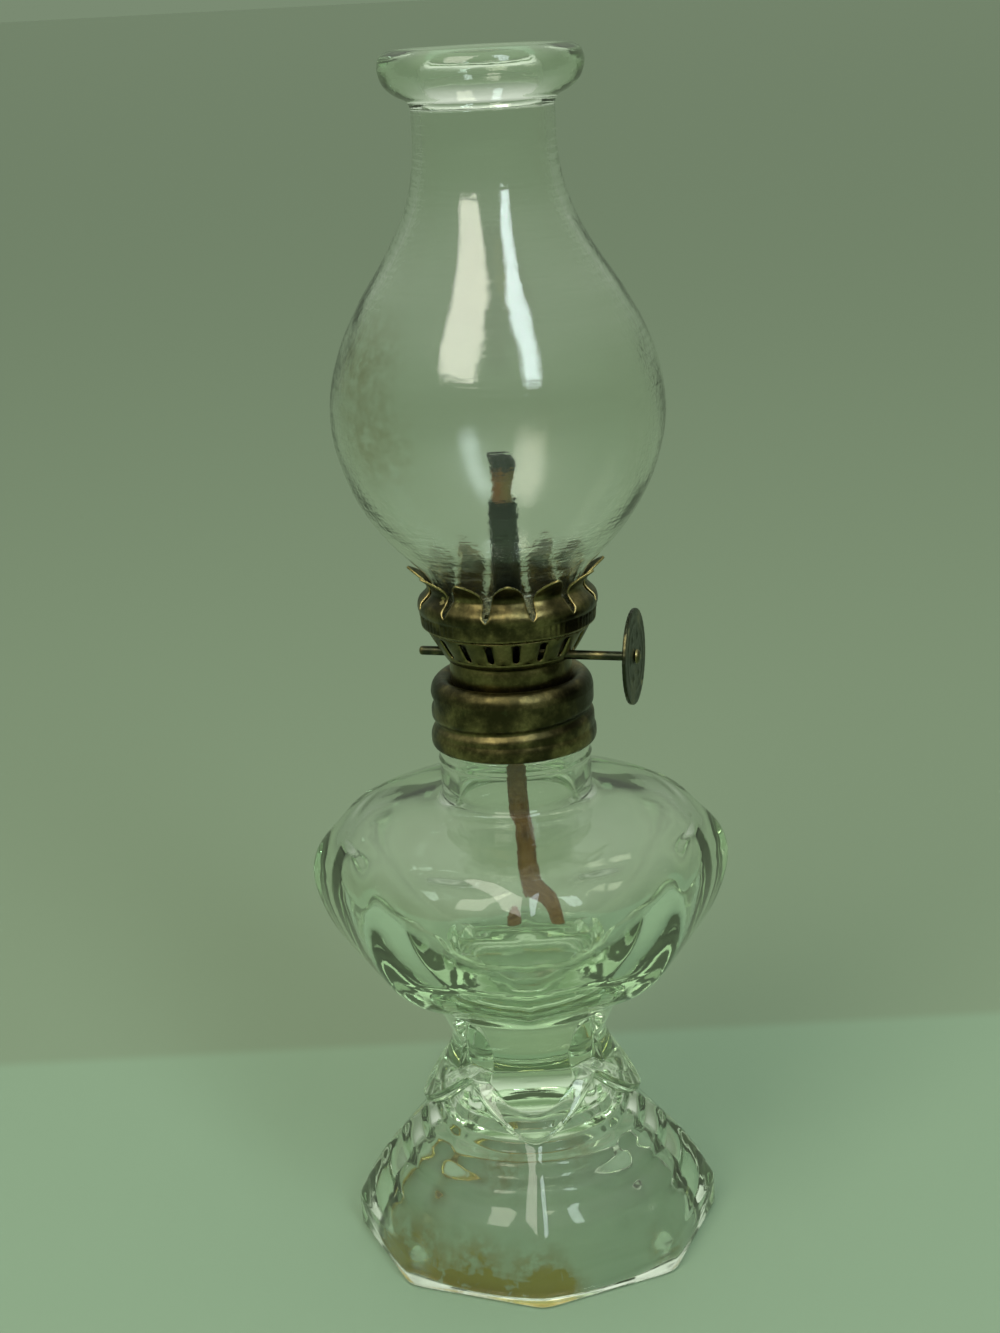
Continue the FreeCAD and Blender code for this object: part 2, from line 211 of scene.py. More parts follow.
# ------------------------------------------------------------- mesh building


def mesh_object(name: str, verts: Sequence[Point], faces: Sequence[Sequence[int]]) -> bpy.types.Object:
    """Make a smooth-shaded object from millimetre points.

    Args:
        name: object name.
        verts: points in millimetres.
        faces: vertex indices of each face.

    Returns:
        The new object, linked to the scene.
    """
    mesh = bpy.data.meshes.new(name)
    mesh.from_pydata([(x * MM, y * MM, z * MM) for x, y, z in verts], [], faces)
    mesh.validate()
    mesh.update()
    mesh.polygons.foreach_set("use_smooth", [True] * len(mesh.polygons))
    obj = bpy.data.objects.new(name, mesh)
    bpy.context.scene.collection.objects.link(obj)
    return obj


def skin(name: str, rings: Sequence[Sequence[Point]], closed: bool) -> bpy.types.Object:
    """Join rings of points with quads.

    Args:
        name: object name.
        rings: rings of equal length, or of one point at a pole.
        closed: whether the last ring joins the first.

    Returns:
        The new object.
    """
    verts: list[Point] = []
    starts: list[int] = []
    for ring in rings:
        starts.append(len(verts))
        verts.extend(ring)
    faces: list[tuple[int, ...]] = []
    pairs = list(zip(range(len(rings)), range(1, len(rings))))
    if closed:
        pairs.append((len(rings) - 1, 0))
    for a, b in pairs:
        na, nb = len(rings[a]), len(rings[b])
        count = max(na, nb)
        for i in range(count):
            j = (i + 1) % count
            low = [starts[a]] if na == 1 else [starts[a] + i, starts[a] + j]
            high = [starts[b]] if nb == 1 else [starts[b] + j, starts[b] + i]
            faces.append(tuple(low + high))
    return mesh_object(name, verts, faces)


Shape = Callable[[float, float, float], Pair]


def lathe(
    name: str, path: Sequence[Pair], segments: int, shape: Shape | None = None, closed: bool = True
) -> bpy.types.Object:
    """Turn a path about Z, with an optional change to every point.

    Args:
        name: object name.
        path: (r, z) points in millimetres, walked up the outside and down the inside.
        segments: points round each ring.
        shape: gives (r, z) from (theta, r, z), theta being 0 at the front corner.
        closed: whether the path closes on itself; otherwise its ends may be poles.

    Returns:
        The new object.
    """
    rings = []
    for r, z in path:
        if r < 1e-6:
            rings.append([(0.0, 0.0, z)])
            continue
        ring = []
        for i in range(segments):
            theta = TAU * i / segments
            rr, zz = shape(theta, r, z) if shape else (r, z)
            ring.append((rr * math.sin(theta), -rr * math.cos(theta), zz))
        rings.append(ring)
    return skin(name, rings, closed)


def patchwork(name: str, grids: Iterable[list[list[Point]]], thickness: float) -> bpy.types.Object:
    """Join grids of points into one sheet and give it thickness.

    Args:
        name: object name.
        grids: each a list of rows of points; touching borders are welded.
        thickness: sheet thickness in millimetres, added inwards.

    Returns:
        The new object.
    """
    verts: list[Point] = []
    faces: list[tuple[int, ...]] = []
    for grid in grids:
        base, wide = len(verts), len(grid[0])
        for row in grid:
            verts.extend(row)
        for a in range(len(grid) - 1):
            for b in range(wide - 1):
                k = base + a * wide + b
                faces.append((k, k + 1, k + wide + 1, k + wide))
    obj = mesh_object(name, verts, faces)
    weld = obj.modifiers.new("weld", "WELD")
    weld.merge_threshold = 0.01 * MM
    solid = obj.modifiers.new("sheet", "SOLIDIFY")
    solid.thickness = thickness * MM
    solid.offset = -1.0
    bake(obj)
    return obj


def bake(obj: bpy.types.Object) -> None:
    """Apply all of an object's modifiers.

    Args:
        obj: the object.
    """
    graph = bpy.context.evaluated_depsgraph_get()
    mesh = bpy.data.meshes.new_from_object(obj.evaluated_get(graph))
    obj.modifiers.clear()
    obj.data = mesh
    mesh.polygons.foreach_set("use_smooth", [True] * len(mesh.polygons))


def turn(obj: bpy.types.Object, matrix: Matrix) -> bpy.types.Object:
    """Move the points of an object.

    Args:
        obj: the object.
        matrix: the move.

    Returns:
        The same object.
    """
    obj.data.transform(matrix)
    obj.data.update()
    return obj


YAW = Matrix.Rotation(BURNER_YAW, 4, "Z")


# ------------------------------------------------------------------ finishes


class Graph:
    """Short-hand for building a node tree."""

    def __init__(self, tree: bpy.types.NodeTree) -> None:
        self.tree = tree

    def add(self, kind: str, **settings: object) -> bpy.types.Node:
        """Add a node.

        Args:
            kind: Blender's node type name without "ShaderNode".
            settings: node properties, or socket values given as in_NAME.

        Returns:
            The node.
        """
        node = self.tree.nodes.new("ShaderNode" + kind)
        for key, value in settings.items():
            if key.startswith("in_"):
                self.put(node, key[3:].replace("_", " "), value)
            else:
                setattr(node, key, value)
        return node

    def put(self, node: bpy.types.Node, socket: str | int, value: object) -> None:
        """Set or link one input.

        Args:
            node: the node.
            socket: input name or number.
            value: a number, colour, or an output socket to link.
        """
        target = node.inputs[int(socket)] if str(socket).isdigit() else node.inputs[socket]
        if isinstance(value, bpy.types.NodeSocket):
            self.tree.links.new(value, target)
        elif isinstance(value, tuple) and len(value) == 3 and target.type == "RGBA":
            target.default_value = (*value, 1.0)
        else:
            target.default_value = value

    def math(self, operation: str, a: object, b: object = 0.0, c: object = 0.0) -> bpy.types.NodeSocket:
        """Arithmetic on up to three values.

        Args:
            operation: Blender's name for it.
            a: first value or socket.
            b: second value or socket.
            c: third value or socket.

        Returns:
            The output socket.
        """
        node = self.add("Math", operation=operation)
        for i, value in enumerate((a, b, c)):
            self.put(node, i, value)
        return node.outputs[0]

    def blend(self, factor: object, a: object, b: object) -> bpy.types.NodeSocket:
        """Mix two colours.

        Args:
            factor: 0 gives a, 1 gives b.
            a: first colour or socket.
            b: second colour or socket.

        Returns:
            The colour output.
        """
        node = self.add("Mix", data_type="RGBA")
        self.put(node, 0, factor)
        self.put(node, 6, a)
        self.put(node, 7, b)
        return node.outputs[2]

    def span(self, value: object, low: float, high: float, to_low: float = 0.0, to_high: float = 1.0):
        """Smoothly map a value from one range to another.

        Args:
            value: value or socket.
            low: start of the range.
            high: end of the range.
            to_low: result at the start.
            to_high: result at the end.

        Returns:
            The output socket.
        """
        node = self.add("MapRange", interpolation_type="SMOOTHSTEP")
        for i, number in enumerate((value, low, high, to_low, to_high)):
            self.put(node, i, number)
        return node.outputs[0]


def group(name: str, sockets: Sequence[tuple[str, str, float]], outputs: Sequence[tuple[str, str]]):
    """Start a shader node group.

    Args:
        name: group name.
        sockets: input names, socket types and defaults.
        outputs: output names and socket types.

    Returns:
        The tree, its Graph, its input node and its output node.
    """
    tree = bpy.data.node_groups.new(name, "ShaderNodeTree")
    for label, kind, value in sockets:
        item = tree.interface.new_socket(label, in_out="INPUT", socket_type="NodeSocket" + kind)
        if kind == "Float":
            item.default_value = value
    for label, kind in outputs:
        tree.interface.new_socket(label, in_out="OUTPUT", socket_type="NodeSocket" + kind)
    start = tree.nodes.new("NodeGroupInput")
    end = tree.nodes.new("NodeGroupOutput")
    return tree, Graph(tree), start, end


class Effects:
    """Node groups that several finishes share."""

    def __init__(self) -> None:
        self.patches = self._patches()
        self.ripple = self._ripple()
        self.zone = self._zone()

    def _patches(self) -> bpy.types.NodeTree:
        """Irregular patches: 1 inside a patch and 0 outside."""
        tree, g, start, end = group(
            "patches",
            [("Scale", "Float", 100.0), ("Amount", "Float", 0.5), ("Softness", "Float", 0.1),
             ("Seed", "Float", 0.0)],
            [("Mask", "Float")],
        )
        place = g.add("TexCoord").outputs["Object"]
        tex = g.add("TexNoise", noise_dimensions="4D", in_Detail=5.0, in_Roughness=0.62)
        g.put(tex, "Vector", place)
        g.put(tex, "Scale", start.outputs["Scale"])
        g.put(tex, "W", start.outputs["Seed"])
        level = g.math("SUBTRACT", 1.0, start.outputs["Amount"])
        low = g.math("SUBTRACT", level, start.outputs["Softness"])
        high = g.math("ADD", level, start.outputs["Softness"])
        ramp = g.add("MapRange", interpolation_type="SMOOTHSTEP")
        for i, value in enumerate((tex.outputs[0], low, high, 0.0, 1.0)):
            g.put(ramp, i, value)
        tree.links.new(ramp.outputs[0], end.inputs["Mask"])
        return tree

    def _ripple(self) -> bpy.types.NodeTree:
        """Surface unevenness at two scales and fine level lines, as a normal."""
        tree, g, start, end = group(
            "ripple",
            [("Scale", "Float", 60.0), ("Coarse", "Float", 0.2), ("Fine", "Float", 0.05),
             ("Bands", "Float", 0.0)],
            [("Normal", "Vector"), ("Height", "Float")],
        )
        place = g.add("TexCoord").outputs["Object"]
        broad = g.add("TexNoise", in_Detail=1.0, in_Vector=place, in_Scale=start.outputs["Scale"])
        sharp = g.add("TexNoise", in_Detail=3.0, in_Vector=place)
        g.put(sharp, "Scale", g.math("MULTIPLY", start.outputs["Scale"], 14.0))
        height = g.math("MULTIPLY", broad.outputs[0], start.outputs["Coarse"])
        height = g.math("MULTIPLY_ADD", sharp.outputs[0], start.outputs["Fine"], height)
        flat = g.add("VectorMath", operation="MULTIPLY", in_1=(0.1, 0.1, 1.0))
        g.put(flat, 0, place)
        lines = g.add("TexNoise", in_Detail=2.0, in_Scale=850.0, in_Vector=flat.outputs[0])
        height = g.math("MULTIPLY_ADD", lines.outputs[0], start.outputs["Bands"], height)
        relief = g.add("Bump", in_Height=height)
        g.put(relief, "Distance", 0.001)
        tree.links.new(relief.outputs[0], end.inputs["Normal"])
        tree.links.new(height, end.inputs["Height"])
        return tree

    def _zone(self) -> bpy.types.NodeTree:
        """A soft ball round a place: 1 at its middle."""
        tree, g, start, end = group(
            "zone",
            [("X", "Float", 0.0), ("Y", "Float", 0.0), ("Z", "Float", 0.0), ("Radius", "Float", 0.01)],
            [("Mask", "Float")],
        )
        place = g.add("TexCoord").outputs["Object"]
        middle = g.add("CombineXYZ")
        for axis in "XYZ":
            g.put(middle, axis, start.outputs[axis])
        gap = g.add("VectorMath", operation="DISTANCE")
        g.put(gap, 0, place)
        g.put(gap, 1, middle.outputs[0])
        ratio = g.math("DIVIDE", gap.outputs["Value"], start.outputs["Radius"])
        tree.links.new(g.span(ratio, 1.0, 0.0), end.inputs["Mask"])
        return tree


class Finish:
    """A finish that builds its own material."""

    name = "finish"

    def build(self, effects: Effects) -> bpy.types.Material:
        """Make the material.

        Args:
            effects: shared node groups.

        Returns:
            The material.
        """
        material = bpy.data.materials.new(self.name)
        material.use_nodes = True
        tree = material.node_tree
        shader = tree.nodes["Principled BSDF"]
        self.wire(Graph(tree), shader, effects)
        return material

    def wire(self, g: Graph, shader: bpy.types.Node, effects: Effects) -> None:
        """Add this finish's nodes.

        Args:
            g: the material's graph.
            shader: its Principled shader.
            effects: shared node groups.
        """
        raise NotImplementedError

    @staticmethod
    def use(g: Graph, tree: bpy.types.NodeTree, **values: object) -> bpy.types.Node:
        """Place a node group.

        Args:
            g: the graph to place it in.
            tree: the group.
            values: its inputs.

        Returns:
            The group node.
        """
        node = g.add("Group", node_tree=tree)
        for key, value in values.items():
            g.put(node, key, value)
        return node

    @classmethod
    def mottle(
        cls, g: Graph, effects: Effects, scale: float, amount: float, softness: float, seed: float
    ) -> bpy.types.NodeSocket:
        """Place the patches group.

        Args:
            g: the graph to place it in.
            effects: shared node groups.
            scale: patches a metre.
            amount: share of the surface covered.
            softness: width of their edges.
            seed: which pattern.

        Returns:
            The mask, 1 inside a patch.
        """
        node = cls.use(g, effects.patches, Scale=scale, Amount=amount, Softness=softness, Seed=seed)
        return node.outputs[0]


@dataclass(frozen=True)
class Glass(Finish):
    """Old clear glass with a green cast, ripple and dirt, and a painted pale green glow given off by its
    volume.
    """

    name: str = "glass"
    tint: Point = (0.985, 0.997, 0.97)
    depth_tint: Point = (0.62, 0.86, 0.52)
    density: float = 26.0
    # Colour of a painted glow: pale green light that the glass volume gives off of its own.
    glow: Point = (0.66, 0.82, 0.52)
    ripple: float = 0.12
    stain: Point = (0.62, 0.31, 0.008)
    stains: tuple[tuple[float, float, float, float, float], ...] = ()
    haze: float = 0.03
    index: float = 1.49
    soot: bool = False
    rim: float = 1000.0
    edge_dirt: float = 0.0
    bands: float = 0.0
    grain: float = 0.04

    def wire(self, g: Graph, shader: bpy.types.Node, effects: Effects) -> None:
        colour: object = self.tint
        dirt: object = 0.0
        for x, y, z, radius, amount in self.stains:
            ball = self.use(g, effects.zone, X=x * MM, Y=y * MM, Z=z * MM, Radius=radius * MM)
            spots = self.mottle(g, effects, 420.0, 0.5, 0.10, x)
            part = g.math("MULTIPLY", ball.outputs[0], spots)
            dirt = g.math("MULTIPLY_ADD", part, amount, dirt)
        place = g.add("SeparateXYZ")
        g.put(place, 0, g.add("TexCoord").outputs["Object"])
        if self.stains:
            across = g.math("MULTIPLY", place.outputs[0], place.outputs[0])
            across = g.math("SQRT", g.math("MULTIPLY_ADD", place.outputs[1], place.outputs[1], across))
            inside = g.span(across, (self.rim + 0.3) * MM, (self.rim - 0.3) * MM)
            if self.edge_dirt:
                crumbs = self.mottle(g, effects, 500.0, 0.56, 0.08, 6.0)
                line = g.math("MULTIPLY", crumbs, g.span(place.outputs[2], 0.0042, 0.0014))
                side = g.span(place.outputs[0], 0.009, 0.001)
                dirt = g.math("MULTIPLY_ADD", g.math("MULTIPLY", line, side), self.edge_dirt, dirt)
            dirt = g.math("MULTIPLY", g.math("MINIMUM", dirt, 0.97), inside)
            colour = g.blend(dirt, colour, self.stain)
        film = self.mottle(g, effects, 55.0, 0.52, 0.2, 4.0)
        rough = g.math("MULTIPLY_ADD", film, self.haze, 0.008)
        if self.soot:
            specks = self.mottle(g, effects, 900.0, 0.27, 0.02, 9.0)
            cloud = self.mottle(g, effects, 40.0, 0.5, 0.15, 2.0)
            black = g.math("MULTIPLY", g.math("MULTIPLY", specks, cloud), 0.85)
            colour = g.blend(black, colour, (0.05, 0.04, 0.02))
            behind, low = g.span(place.outputs[1], 0.0, 0.010), g.span(place.outputs[2], 0.152, 0.138)
            rear = g.math("MULTIPLY", behind, low)
            rough = g.math("MULTIPLY_ADD", rear, 0.14, rough)
        if self.stains:
            rough = g.math("MULTIPLY_ADD", dirt, 0.2, rough)
        fine = self.ripple * self.grain
        wave = self.use(g, effects.ripple, Scale=70.0, Coarse=self.ripple, Fine=fine, Bands=self.bands)
        g.put(shader, "Base Color", colour)
        g.put(shader, "Metallic", 0.0)
        g.put(shader, "Transmission Weight", 1.0)
        g.put(shader, "IOR", self.index)
        g.put(shader, "Roughness", rough)
        g.put(shader, "Normal", wave.outputs["Normal"])
        fog = g.add("VolumeAbsorption")
        g.put(fog, "Color", self.depth_tint)
        g.put(fog, "Density", self.density)
        # Painted glow: the glass volume gives off pale green light of its own, stronger where the tint is
        # denser, so that deep parts of the glass do not come out black.
        painted_glow_emission = g.add("Emission")
        g.put(painted_glow_emission, "Color", self.glow)
        g.put(painted_glow_emission, "Strength", self.density / 15.0)
        both = g.add("AddShader")
        g.tree.links.new(fog.outputs[0], both.inputs[0])
        g.tree.links.new(painted_glow_emission.outputs[0], both.inputs[1])
        out = next(n for n in g.tree.nodes if n.type == "OUTPUT_MATERIAL")
        g.tree.links.new(both.outputs[0], out.inputs["Volume"])


@dataclass(frozen=True)
class AgedBrass(Finish):
    """Tarnished brass: dull olive brown, brighter where it is rubbed."""

    name: str = "aged_brass"
    dark: Point = (0.034, 0.030, 0.012)
    bright: Point = (0.42, 0.34, 0.14)
    rub: float = 0.44
    rough: float = 0.24

    def wire(self, g: Graph, shader: bpy.types.Node, effects: Effects) -> None:
        broad = self.mottle(g, effects, 140.0, self.rub, 0.16, 1.0)
        fine = self.mottle(g, effects, 1500.0, 0.45, 0.12, 3.0)
        edge = g.add("NewGeometry").outputs["Pointiness"]
        worn = g.math("MAXIMUM", g.span(edge, 0.51, 0.60), g.math("MULTIPLY", broad, 0.75))
        worn = g.math("MULTIPLY", worn, g.math("MULTIPLY_ADD", fine, 0.35, 0.65))
        colour = g.blend(worn, self.dark, self.bright)
        verdigris = self.mottle(g, effects, 260.0, 0.34, 0.05, 7.0)
        colour = g.blend(g.math("MULTIPLY", verdigris, 0.35), colour, (0.075, 0.085, 0.035))
        grain = self.use(g, effects.ripple, Scale=420.0, Coarse=0.10, Fine=0.03)
        g.put(shader, "Base Color", colour)
        g.put(shader, "Metallic", 1.0)
        rough = g.math("MULTIPLY_ADD", worn, -0.12, self.rough + 0.1)
        g.put(shader, "Roughness", g.math("MULTIPLY_ADD", fine, 0.08, rough))
        g.put(shader, "Normal", grain.outputs["Normal"])


@dataclass(frozen=True)
class SootedSteel(Finish):
    """Dark steel with lamp soot, heaviest at the mouth."""

    name: str = "sooted_steel"
    base: Point = (0.032, 0.038, 0.031)

    def wire(self, g: Graph, shader: bpy.types.Node, effects: Effects) -> None:
        split = g.add("SeparateXYZ")
        g.put(split, 0, g.add("TexCoord").outputs["Object"])
        mouth = g.span(split.outputs[2], 0.129, 0.1355)
        spots = self.mottle(g, effects, 500.0, 0.5, 0.1, 5.0)
        soot = g.math("MAXIMUM", g.math("MULTIPLY", mouth, 0.9), g.math("MULTIPLY", spots, 0.5))
        colour = g.blend(soot, self.base, (0.006, 0.006, 0.005))
        grain = self.use(g, effects.ripple, Scale=600.0, Coarse=0.12, Fine=0.05)
        g.put(shader, "Base Color", colour)
        g.put(shader, "Metallic", 0.85)
        g.put(shader, "Roughness", g.math("MULTIPLY_ADD", soot, 0.3, 0.38))
        g.put(shader, "Normal", grain.outputs["Normal"])


@dataclass(frozen=True)
class WickCotton(Finish):
    """Knit cotton: charred tip, scorched below it, oil-brown in the font."""

    name: str = "wick_cotton"

    def wire(self, g: Graph, shader: bpy.types.Node, effects: Effects) -> None:
        split = g.add("SeparateXYZ")
        g.put(split, 0, g.add("TexCoord").outputs["Object"])
        z = split.outputs[2]
        spots = self.mottle(g, effects, 900.0, 0.5, 0.15, 2.0)
        wobble = g.math("MULTIPLY_ADD", spots, 0.0016, z)
        side = g.span(g.math("MULTIPLY_ADD", spots, 0.0012, split.outputs[0]), -0.0008, 0.0022)
        fresh = g.blend(side, (0.23, 0.085, 0.012), (0.20, 0.15, 0.035))
        soaked = g.blend(spots, (0.15, 0.075, 0.016), (0.27, 0.15, 0.04))
        colour = g.blend(g.span(z, 0.128, 0.137), soaked, fresh)
        colour = g.blend(g.math("MULTIPLY", spots, 0.35), colour, (0.10, 0.06, 0.015))
        scorch = g.span(wobble, 0.1395, 0.1425)
        colour = g.blend(g.math("MULTIPLY", scorch, 0.75), colour, (0.085, 0.035, 0.012))
        char = g.span(wobble, 0.1414, 0.1429)
        colour = g.blend(char, colour, (0.008, 0.010, 0.008))
        fibre = self.use(g, effects.ripple, Scale=1400.0, Coarse=0.22, Fine=0.10)
        g.put(shader, "Base Color", colour)
        g.put(shader, "Metallic", 0.0)
        g.put(shader, "Roughness", g.math("MULTIPLY_ADD", char, -0.25, 0.92))
        g.put(shader, "Sheen Weight", 0.25)
        g.put(shader, "Normal", fibre.outputs["Normal"])


@dataclass(frozen=True)
class SealRubber(Finish):
    """The sealing ring in the cap."""

    name: str = "seal_rubber"

    def wire(self, g: Graph, shader: bpy.types.Node, effects: Effects) -> None:
        spots = self.mottle(g, effects, 300.0, 0.5, 0.2, 1.0)
        g.put(shader, "Base Color", g.blend(spots, (0.035, 0.028, 0.02), (0.09, 0.07, 0.045)))
        g.put(shader, "Metallic", 0.0)
        g.put(shader, "Roughness", 0.75)
        skin_marks = self.use(g, effects.ripple, Scale=500.0, Coarse=0.1, Fine=0.05)
        g.put(shader, "Normal", skin_marks.outputs["Normal"])


@dataclass(frozen=True)
class Backdrop(Finish):
    """Pale floor that turns to a grey-green ground some way behind the lamp."""

    name: str = "floor"
    near: Point = (0.232, 0.325, 0.222)
    far: Point = (0.208, 0.270, 0.180)
    edge: float = 0.072

    def wire(self, g: Graph, shader: bpy.types.Node, effects: Effects) -> None:
        split = g.add("SeparateXYZ")
        g.put(split, 0, g.add("TexCoord").outputs["Object"])
        back = g.span(split.outputs[1], self.edge - 0.003, self.edge + 0.003)
        g.put(shader, "Base Color", g.blend(back, self.near, self.far))
        g.put(shader, "Roughness", 0.55)
        g.put(shader, "Specular IOR Level", 0.2)


# -------------------------------------------------------------------- pieces


@dataclass
class Piece:
    """One visible piece and how it takes part in the frame."""

    obj: bpy.types.Object
    body: Body
    finish: bpy.types.Material
    slot: str
    nodes: tuple[str, ...] = ()

    def settle(self) -> None:
        """Give the piece its material and tie it to its body."""
        self.obj.data.materials.clear()
        self.obj.data.materials.append(self.finish)
        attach(self.obj, self.body.value)
        if self.nodes:
            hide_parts(*self.nodes)
        LOG.info("%s: %d faces on %s", self.obj.name, len(self.obj.data.polygons), self.body.value)


@dataclass
class Font:
    """Foot, pedestal, bowl and neck: one piece of pressed glass."""

    segments: int = 360
    pitch: float = 4.0
    foot_sharp: float = 60.0
    skirt_sharp: float = 34.0
    bowl_base: float = 45.4
    belly: float = 70.6
    neck_bore: float = 10.3
    hollow_top: float = 26.9
    cavity_floor: float = 53.0
    hollow: tuple[Pair, ...] = (
        (0.4, 26.9), (3.5, 26.7), (6.5, 26.2), (8.8, 25.5), (10.6, 24.5), (13.5, 22.6),
        (17.0, 19.7), (21.0, 15.4), (24.3, 10.4), (26.3, 5.0), (27.0, 0.7),
    )
    risers: tuple[float, ...] = (11.93, 15.19, 18.45, 21.7, 24.97)
    rim: tuple[Point, ...] = (
        (27.3, 0.15, 2.2), (27.9, 0.0, 2.6), (30.0, 0.0, 8.0), (32.0, 0.0, 30.0), (32.6, 0.15, 60.0),
        (32.95, 0.55, 60.0), (33.0, 1.0, 60.0), (33.0, 2.8, 60.0), (33.0, 4.7, 60.0), (33.0, 5.45, 60.0),
    )
    skirt: tuple[Pair, ...] = tuple(smooth([
        (33.0, 5.7), (31.6, 8.4), (29.7, 11.9), (26.8, 15.9), (23.6, 19.3),
        (20.3, 22.2), (17.8, 25.0), (16.0, 29.0), (14.8, 34.0),
    ], 6))
    petal: tuple[Pair, ...] = tuple(smooth([
        (20.0, 23.5), (19.7, 25.5), (18.5, 28.1), (17.0, 31.6), (15.7, 34.4),
        (14.8, 37.0), (14.6, 38.6), (15.1, 40.8), (15.8, 43.2), (16.6, 45.4),
    ], 5))
    bowl: tuple[Pair, ...] = (
        (16.6, 45.4), (21.0, 48.3), (25.5, 51.0), (29.0, 53.8), (31.8, 57.0), (34.2, 60.8),
        (35.8, 64.6), (36.7, 68.0), (36.88, 70.6), (36.6, 72.6), (35.6, 75.2), (33.4, 77.8),
        (30.0, 80.2), (25.5, 82.0), (20.0, 82.95), (15.6, 83.1),
    )
    cavity: tuple[Pair, ...] = (
        (10.5, 83.2), (13.0, 81.2), (20.0, 79.8), (27.0, 77.6), (30.6, 74.6), (31.6, 71.2), (30.6, 67.2),
        (28.0, 62.8), (24.8, 59.4), (21.8, 57.2), (18.0, 55.4), (13.0, 53.9), (8.0, 53.2), (0.4, 53.0),
    )

    def ring(self, point: Callable[[float], Pair]) -> list[Point]:
        """One ring, from the radius and height at each angle."""
        ring = []
        for i in range(self.segments):
            theta = TAU * i / self.segments
            r, z = point(theta)
            ring.append((r * math.sin(theta), -r * math.cos(theta), z))
        return ring

    def circles(self, path: Iterable[Pair]) -> list[list[Point]]:
        """A circle at each (r, z) of a path."""
        return [self.ring(lambda th, r=r, z=z: (r, z)) for r, z in path]

    def octagons(self, path: Iterable[Point]) -> list[list[Point]]:
        """A soft octagon at each (r, z, sharpness) of a path."""
        return [self.ring(lambda th, r=r, z=z, n=n: (r * octagon(th, n), z)) for r, z, n in path]

    def scallop(self, theta: float) -> float:
        """Height of the petals' lower edge."""
        phi = (theta + TAU / 8.0) % (TAU / 4.0) - TAU / 8.0
        u = min(abs(math.sin(phi) / math.sin(TAU / 8.0)), 1.0)
        return 24.4 + 8.8 * u**1.5

    def on_skirt(self, theta: float, t: float) -> Pair:
        """A point of the bell skirt, t running from the foot's band to the petals."""
        z = mix(5.6, self.scallop(theta) - 0.1, t)
        return lookup(self.skirt, z) * octagon(theta, mix(self.foot_sharp, self.skirt_sharp, t)), z

    def on_lip(self, theta: float, t: float, rise: float) -> Pair:
        """A point of the shelf from the skirt out to the petals' edge."""
        edge = self.scallop(theta)
        low = lookup(self.skirt, edge) * octagon(theta, self.skirt_sharp)
        return mix(low, lookup(self.petal, edge + 0.9), t), edge + rise

    def on_petal(self, theta: float, t: float) -> Pair:
        """A point of a petal: a rounded rim, a scooped face and an arched panel."""
        z = mix(self.scallop(theta) + 0.95, self.bowl_base, t)
        d = z - self.scallop(theta)
        r = lookup(self.petal, z) + 0.35 * bump(d - 1.3, 1.3)
        r -= 0.7 * step(2.2, 4.5, d) * step(43.0, 38.0, z)
        phi = (theta % (TAU / 4.0)) - TAU / 8.0
        reach = math.hypot(r * math.sin(phi), max(z - 41.3, 0.0))
        panel = step(4.0, 3.5, reach) * step(33.8, 34.4, z)
        return mix(r, min(r, 12.6 / math.cos(phi)), panel), z

    def foot_rings(self) -> list[list[Point]]:
        """From the top of the stepped hollow, round the rim, to the band's upper edge."""
        stairs = []
        for r, z in smooth(self.hollow, 9):
            risen = sum(math.tanh((r - at) * 4.0) for at in self.risers)
            ramp = 5.0 * min(max(2.0 * (r - 10.3) / 16.3 - 1.0, -1.0), 1.0)
            stairs.append((r, max(z - 0.8 * (risen - ramp), 0.7)))
        return [[(0.0, 0.0, self.hollow_top)]] + self.circles(stairs) + self.octagons(self.rim)

    def pedestal_rings(self) -> list[list[Point]]:
        """The skirt, the shelf under the petals and the petals."""
        skirt, petals = 40, 64
        lips = ((0.3, -0.15), (0.62, -0.12), (0.86, 0.12), (0.97, 0.5), (1.0, 0.95))
        rings = [self.ring(lambda th, t=k / skirt: self.on_skirt(th, t)) for k in range(skirt + 1)]
        rings += [self.ring(lambda th, t=t, rise=rise: self.on_lip(th, t, rise)) for t, rise in lips]
        rings += [self.ring(lambda th, t=k / petals: self.on_petal(th, t)) for k in range(1, petals + 1)]
        return rings

    def bowl_rings(self) -> list[list[Point]]:
        """The bowl's outside: round at its ends and eight-sided between."""
        path = []
        for r, z in smooth(self.bowl, 6)[1:]:
            if z < self.belly:
                sharp = mix(2.0, 60.0, step(self.bowl_base, 53.0, z))
            else:
                sharp = mix(60.0, 2.0, step(72.6, 81.0, z))
            path.append((r, z, sharp))
        return self.octagons(path)

    def neck_rings(self) -> list[list[Point]]:
        """The neck with its bead and thread, and its bore down to the cavity."""
        row = 0.24
        rings = self.circles(smooth([(15.0, 83.12), (14.0, 83.4), (13.4, 84.0), (13.2, 84.9)], 3))
        beaded = [85.1 + k * row for k in range(33)]
        rings += self.circles([(13.2 + 0.22 * bump(z - 90.9, 0.5), z) for z in beaded])
        for k in range(40):
            z = 92.95 + k * row
            base = mix(13.15, 12.3, step(0, 2, k))
            rings.append(self.ring(lambda th, z=z, base=base: (base + 0.8 * self.ridge(th, z), z)))
        mouth = ((12.2, 102.65), (11.9, 102.8), (10.7, 102.8), (10.35, 102.6), (self.neck_bore, 102.0))
        bore = [(self.neck_bore, mix(101.0, 85.0, k / 8)) for k in range(9)]
        return rings + self.circles(mouth) + self.circles(bore)

    def rings(self) -> list[list[Point]]:
        """All rings from the top of the foot's hollow to the floor of the bowl."""
        outside = self.foot_rings() + self.pedestal_rings() + self.bowl_rings()
        inside = self.circles(smooth(self.cavity, 6)) + [[(0.0, 0.0, self.cavity_floor)]]
        return outside + self.neck_rings() + inside

